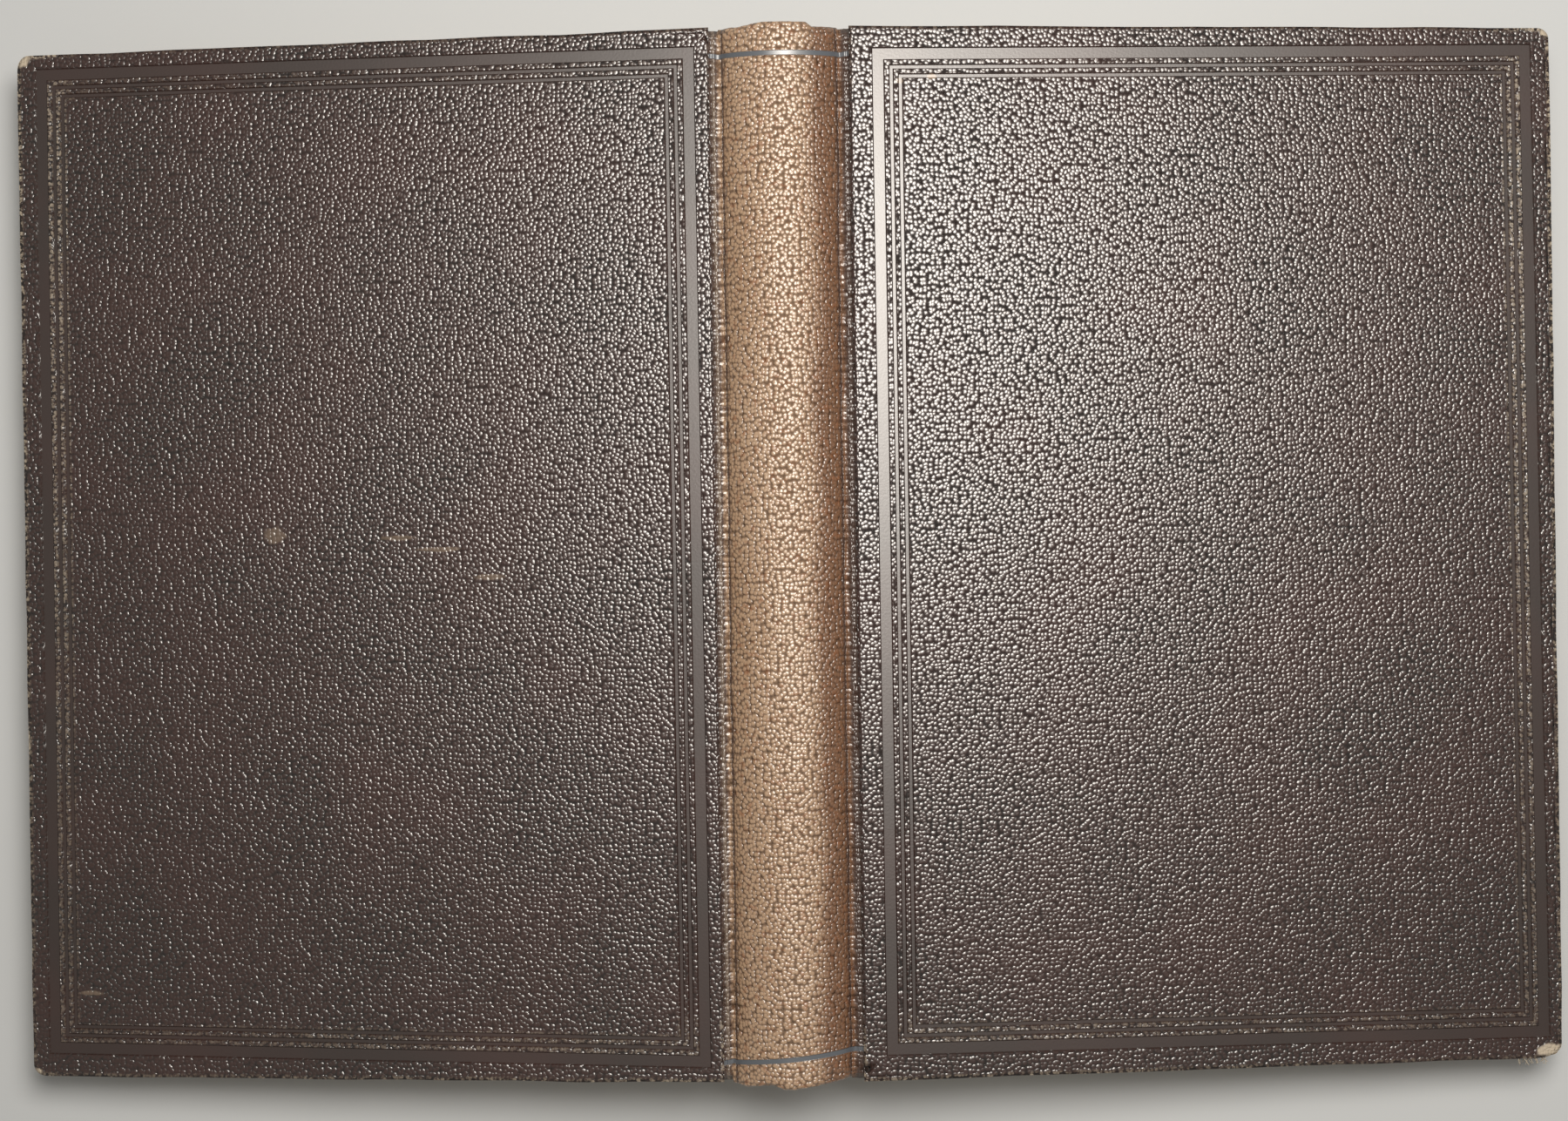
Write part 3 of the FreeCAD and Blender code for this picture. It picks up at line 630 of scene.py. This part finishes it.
def make_pages(material):
    """The sewn leaves: two fans that rest on their open pages, joined at the back."""
    whole = bmesh.new()
    leaf = whole.verts.layers.float.new("leaf")
    bmesh.ops.create_grid(whole, x_segments=46, y_segments=44, size=1.0)
    for vert in whole.verts:
        across = ((vert.co.x + 1) / 2) ** 1.6
        depth = (vert.co.y + 1) / 2
        vert[leaf] = depth
        x, z = leaf_place(across, depth)
        vert.co = (x, -HALF_LEAF_HEIGHT, z)
    made = bmesh.ops.extrude_face_region(whole, geom=whole.faces[:])["geom"]
    far = [item for item in made if isinstance(item, bmesh.types.BMVert)]
    bmesh.ops.translate(whole, vec=(0, 2 * HALF_LEAF_HEIGHT, 0), verts=far)
    cut_across(whole, [-80 + 16 * step for step in range(11)], 1)
    for vert in whole.verts:
        depth = vert[leaf]
        loose = max(0.0, min(1.0, (vert.co.x - 60) / 70))
        if 0.01 < depth < 0.99:
            vert.co.x += 0.28 * loose * ripple(depth * 21, vert.co.y / 90, 1.0)
            if abs(vert.co.y) > HALF_LEAF_HEIGHT - 0.01:
                vert.co.y += math.copysign(0.22, vert.co.y) * (ripple(depth * 23, vert.co.y, 3.0) - 0.5)
    mirrored = bmesh.ops.duplicate(whole, geom=whole.verts[:] + whole.edges[:] + whole.faces[:])["geom"]
    other = [item for item in mirrored if isinstance(item, bmesh.types.BMVert)]
    bmesh.ops.scale(whole, vec=(-1, 1, 1), verts=other)
    bmesh.ops.recalc_face_normals(whole, faces=whole.faces)
    bmesh.ops.scale(whole, vec=(MM, MM, MM), verts=whole.verts)
    return put_in_scene(whole, "leaves", material, sharp=40.0)


def make_frayed_threads(material):
    """Broken threads of the cloth at the front cover's tail corner."""
    bm = bmesh.new()
    chance = random.Random(11)
    for _ in range(16):
        ring = bmesh.ops.create_circle(bm, cap_ends=True, radius=0.07, segments=5)["verts"]
        start = Vector((chance.uniform(123.0, 128.5), -HALF_HEIGHT - 0.05, chance.uniform(0.2, 1.3)))
        way = Vector((chance.uniform(-0.5, 0.7), -1.0, chance.uniform(-0.5, 0.4))).normalized()
        tilt = Vector((0, 0, 1)).rotation_difference(way).to_matrix()
        bmesh.ops.rotate(bm, cent=(0, 0, 0), matrix=tilt, verts=ring)
        bmesh.ops.translate(bm, vec=start, verts=ring)
        tip = ring[0].link_faces[0]
        for _ in range(4):
            made = bmesh.ops.extrude_face_region(bm, geom=[tip])["geom"]
            bmesh.ops.delete(bm, geom=[tip], context="FACES_ONLY")
            tip = next(item for item in made if isinstance(item, bmesh.types.BMFace))
            moved = [item for item in made if isinstance(item, bmesh.types.BMVert)]
            bmesh.ops.translate(bm, vec=way * chance.uniform(0.25, 0.45), verts=moved)
            way = (way + Vector([chance.uniform(-0.45, 0.45) for _ in range(3)])).normalized()
    bmesh.ops.recalc_face_normals(bm, faces=bm.faces)
    bmesh.ops.transform(bm, matrix=cover_to_book(1), verts=bm.verts)
    return put_in_scene(bm, "frayed_threads", material, sharp=60.0)


# The pieces

# Worn places on each cover, (u, v) and reach; marks also have a strength
FRONT_WEAR = (((131.4, 95.0), (1.6, 1.4)), ((130.0, -94.2), (3.6, 1.5)))
FRONT_MARKS = (((16.2, 86.2), (0.9, 0.6), 0.8), ((10.2, 85.5), (0.8, 0.5), 0.5))
BACK_WEAR = (((131.3, -95.3), (2.6, 2.2)), ((131.4, 95.2), (1.5, 1.2)), ((132.0, 33.0), (0.9, 4.0)))
BACK_MARKS = (((83.4, -5.0), (2.2, 1.6), 0.3), ((120.0, 79.8), (2.6, 0.5), 0.35),
              ((60.0, -4.2), (3.5, 0.5), 0.35), ((52.0, -2.0), (4.5, 0.5), 0.35),
              ((43.0, 3.2), (3.0, 0.6), 0.35))

front_cloth = make_cover_cloth("front_cover_cloth_grained", 1, ((1, 2.2, 2.0), (-1, 5.2, 2.4)),
                               FRONT_SKEW,
                               grained_cloth("morocco grained book cloth, front", FRONT_WEAR, FRONT_MARKS))
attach(front_cloth, "front_cover")
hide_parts("front_cover_cloth")

back_cloth = make_cover_cloth("back_cover_cloth_grained", -1, ((1, 2.4, 2.2), (-1, 2.2, 2.6)),
                              BACK_SKEW,
                              grained_cloth("morocco grained book cloth, back", BACK_WEAR, BACK_MARKS))
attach(back_cloth, "back_cover")
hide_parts("back_cover_cloth")

spine_finish = faded_cloth("morocco grained book cloth, faded")
spine = make_spine_cloth(spine_finish)
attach(spine, "book_block")
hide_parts("spine_cloth")

endpaper_finish = plain_paper("aged endpaper", "c9b48f", "b0976c", "8a6a43")
for title, direction in (("front", 1), ("back", -1)):
    joint_piece = make_joint_cloth(f"{title}_joint_cloth", direction, spine_finish)
    fold = make_endpaper_fold(f"{title}_endpaper_fold", direction, endpaper_finish)

leaves = make_pages(plain_paper("aged book paper", "d2bf98", "b79c70", "8f6f47", edge_lines=True))
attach(leaves, "book_block")
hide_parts("pages")

threads = make_frayed_threads(woven("bare cotton thread", "d8cbb4", "a8937a", 0.3))
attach(threads, "front_cover")

FINISHES = {
    "board_card": pressed_card("strawboard", "a98a5e", "7f6440"),
    "grey_card": pressed_card("grey card", "a79c88", "85796a"),
    "endpaper": endpaper_finish,
    "lining_paper": plain_paper("brown lining paper", "a98c63", "8a6d48", "6b4f31"),
    "mull": woven("glued cotton mull", "cdbf9c", "8f7d59", 1.0),
    "band_silk": striped_band("faded silk end band"),
    "hemp_cord": woven("hemp cord", "b8a276", "806a44", 0.8),
}
REPLACED = {"pages", "spine_cloth", "front_cover_cloth", "back_cover_cloth"}
for subpart in frame["record"]["subparts"]:
    if subpart["node"] not in REPLACED:
        node_mesh = frame["nodes"][subpart["node"]].data
        node_mesh.materials.clear()
        node_mesh.materials.append(FINISHES[subpart["material_slot"]])

# Floor, light and camera

floor_finish, floor_tree, floor_shader = new_material("pale matt floor", Roughness=0.9)
floor_place = add(floor_tree, "TexCoord", out="Object")
floor_tone = add(floor_tree, "TexNoise", {"Vector": floor_place, "Scale": 3.0}, out="Fac")
floor_colour = add(floor_tree, "Mix", {0: floor_tone, 6: linear("cfcdc8"), 7: linear("d6d4cf")}, out=2,
                   data_type="RGBA")
floor_tree.links.new(floor_colour, floor_shader.inputs["Base Color"])
floor_bm = bmesh.new()
bmesh.ops.create_grid(floor_bm, x_segments=1, y_segments=1, size=1.5)
floor = put_in_scene(floor_bm, "floor", floor_finish)


def area_light(name, place, aim, size, power):
    """A soft square lamp that points at a place on the book."""
    lamp = bpy.data.lights.new(name, "AREA")
    lamp.size, lamp.energy = size, power
    lamp_object = bpy.data.objects.new(name, lamp)
    lamp_object.location = place
    lamp_object.rotation_euler = (Vector(aim) - Vector(place)).to_track_quat("-Z", "Y").to_euler()
    lamp_object.visible_camera = False
    bpy.context.scene.collection.objects.link(lamp_object)


# The key puts the highlight on the front cover's spine side; the second one lights the spine
area_light("key", (0.068, 0.115, 0.43), (0.02, 0.02, 0.02), 0.17, 1.5)
area_light("second", (-0.005, 0.11, 0.43), (0.0, 0.02, 0.02), 0.14, 0.32)

world = bpy.data.worlds.new("studio")
bpy.context.scene.world = world
world.use_nodes = True
world.node_tree.nodes["Background"].inputs["Color"].default_value = linear("dcdcda")
world.node_tree.nodes["Background"].inputs["Strength"].default_value = 0.3

camera_data = bpy.data.cameras.new("camera")
camera_data.sensor_width, camera_data.lens = 36.0, 47.59
camera_data.clip_start, camera_data.clip_end = 0.01, 10.0
camera = bpy.data.objects.new("camera", camera_data)
camera.location = (0.00434, 0.00072, 0.400)
camera.rotation_euler = [math.radians(angle) for angle in (-0.272, 0.726, -0.881)]
bpy.context.scene.collection.objects.link(camera)
bpy.context.scene.camera = camera
bpy.context.scene.view_settings.view_transform = "Standard"
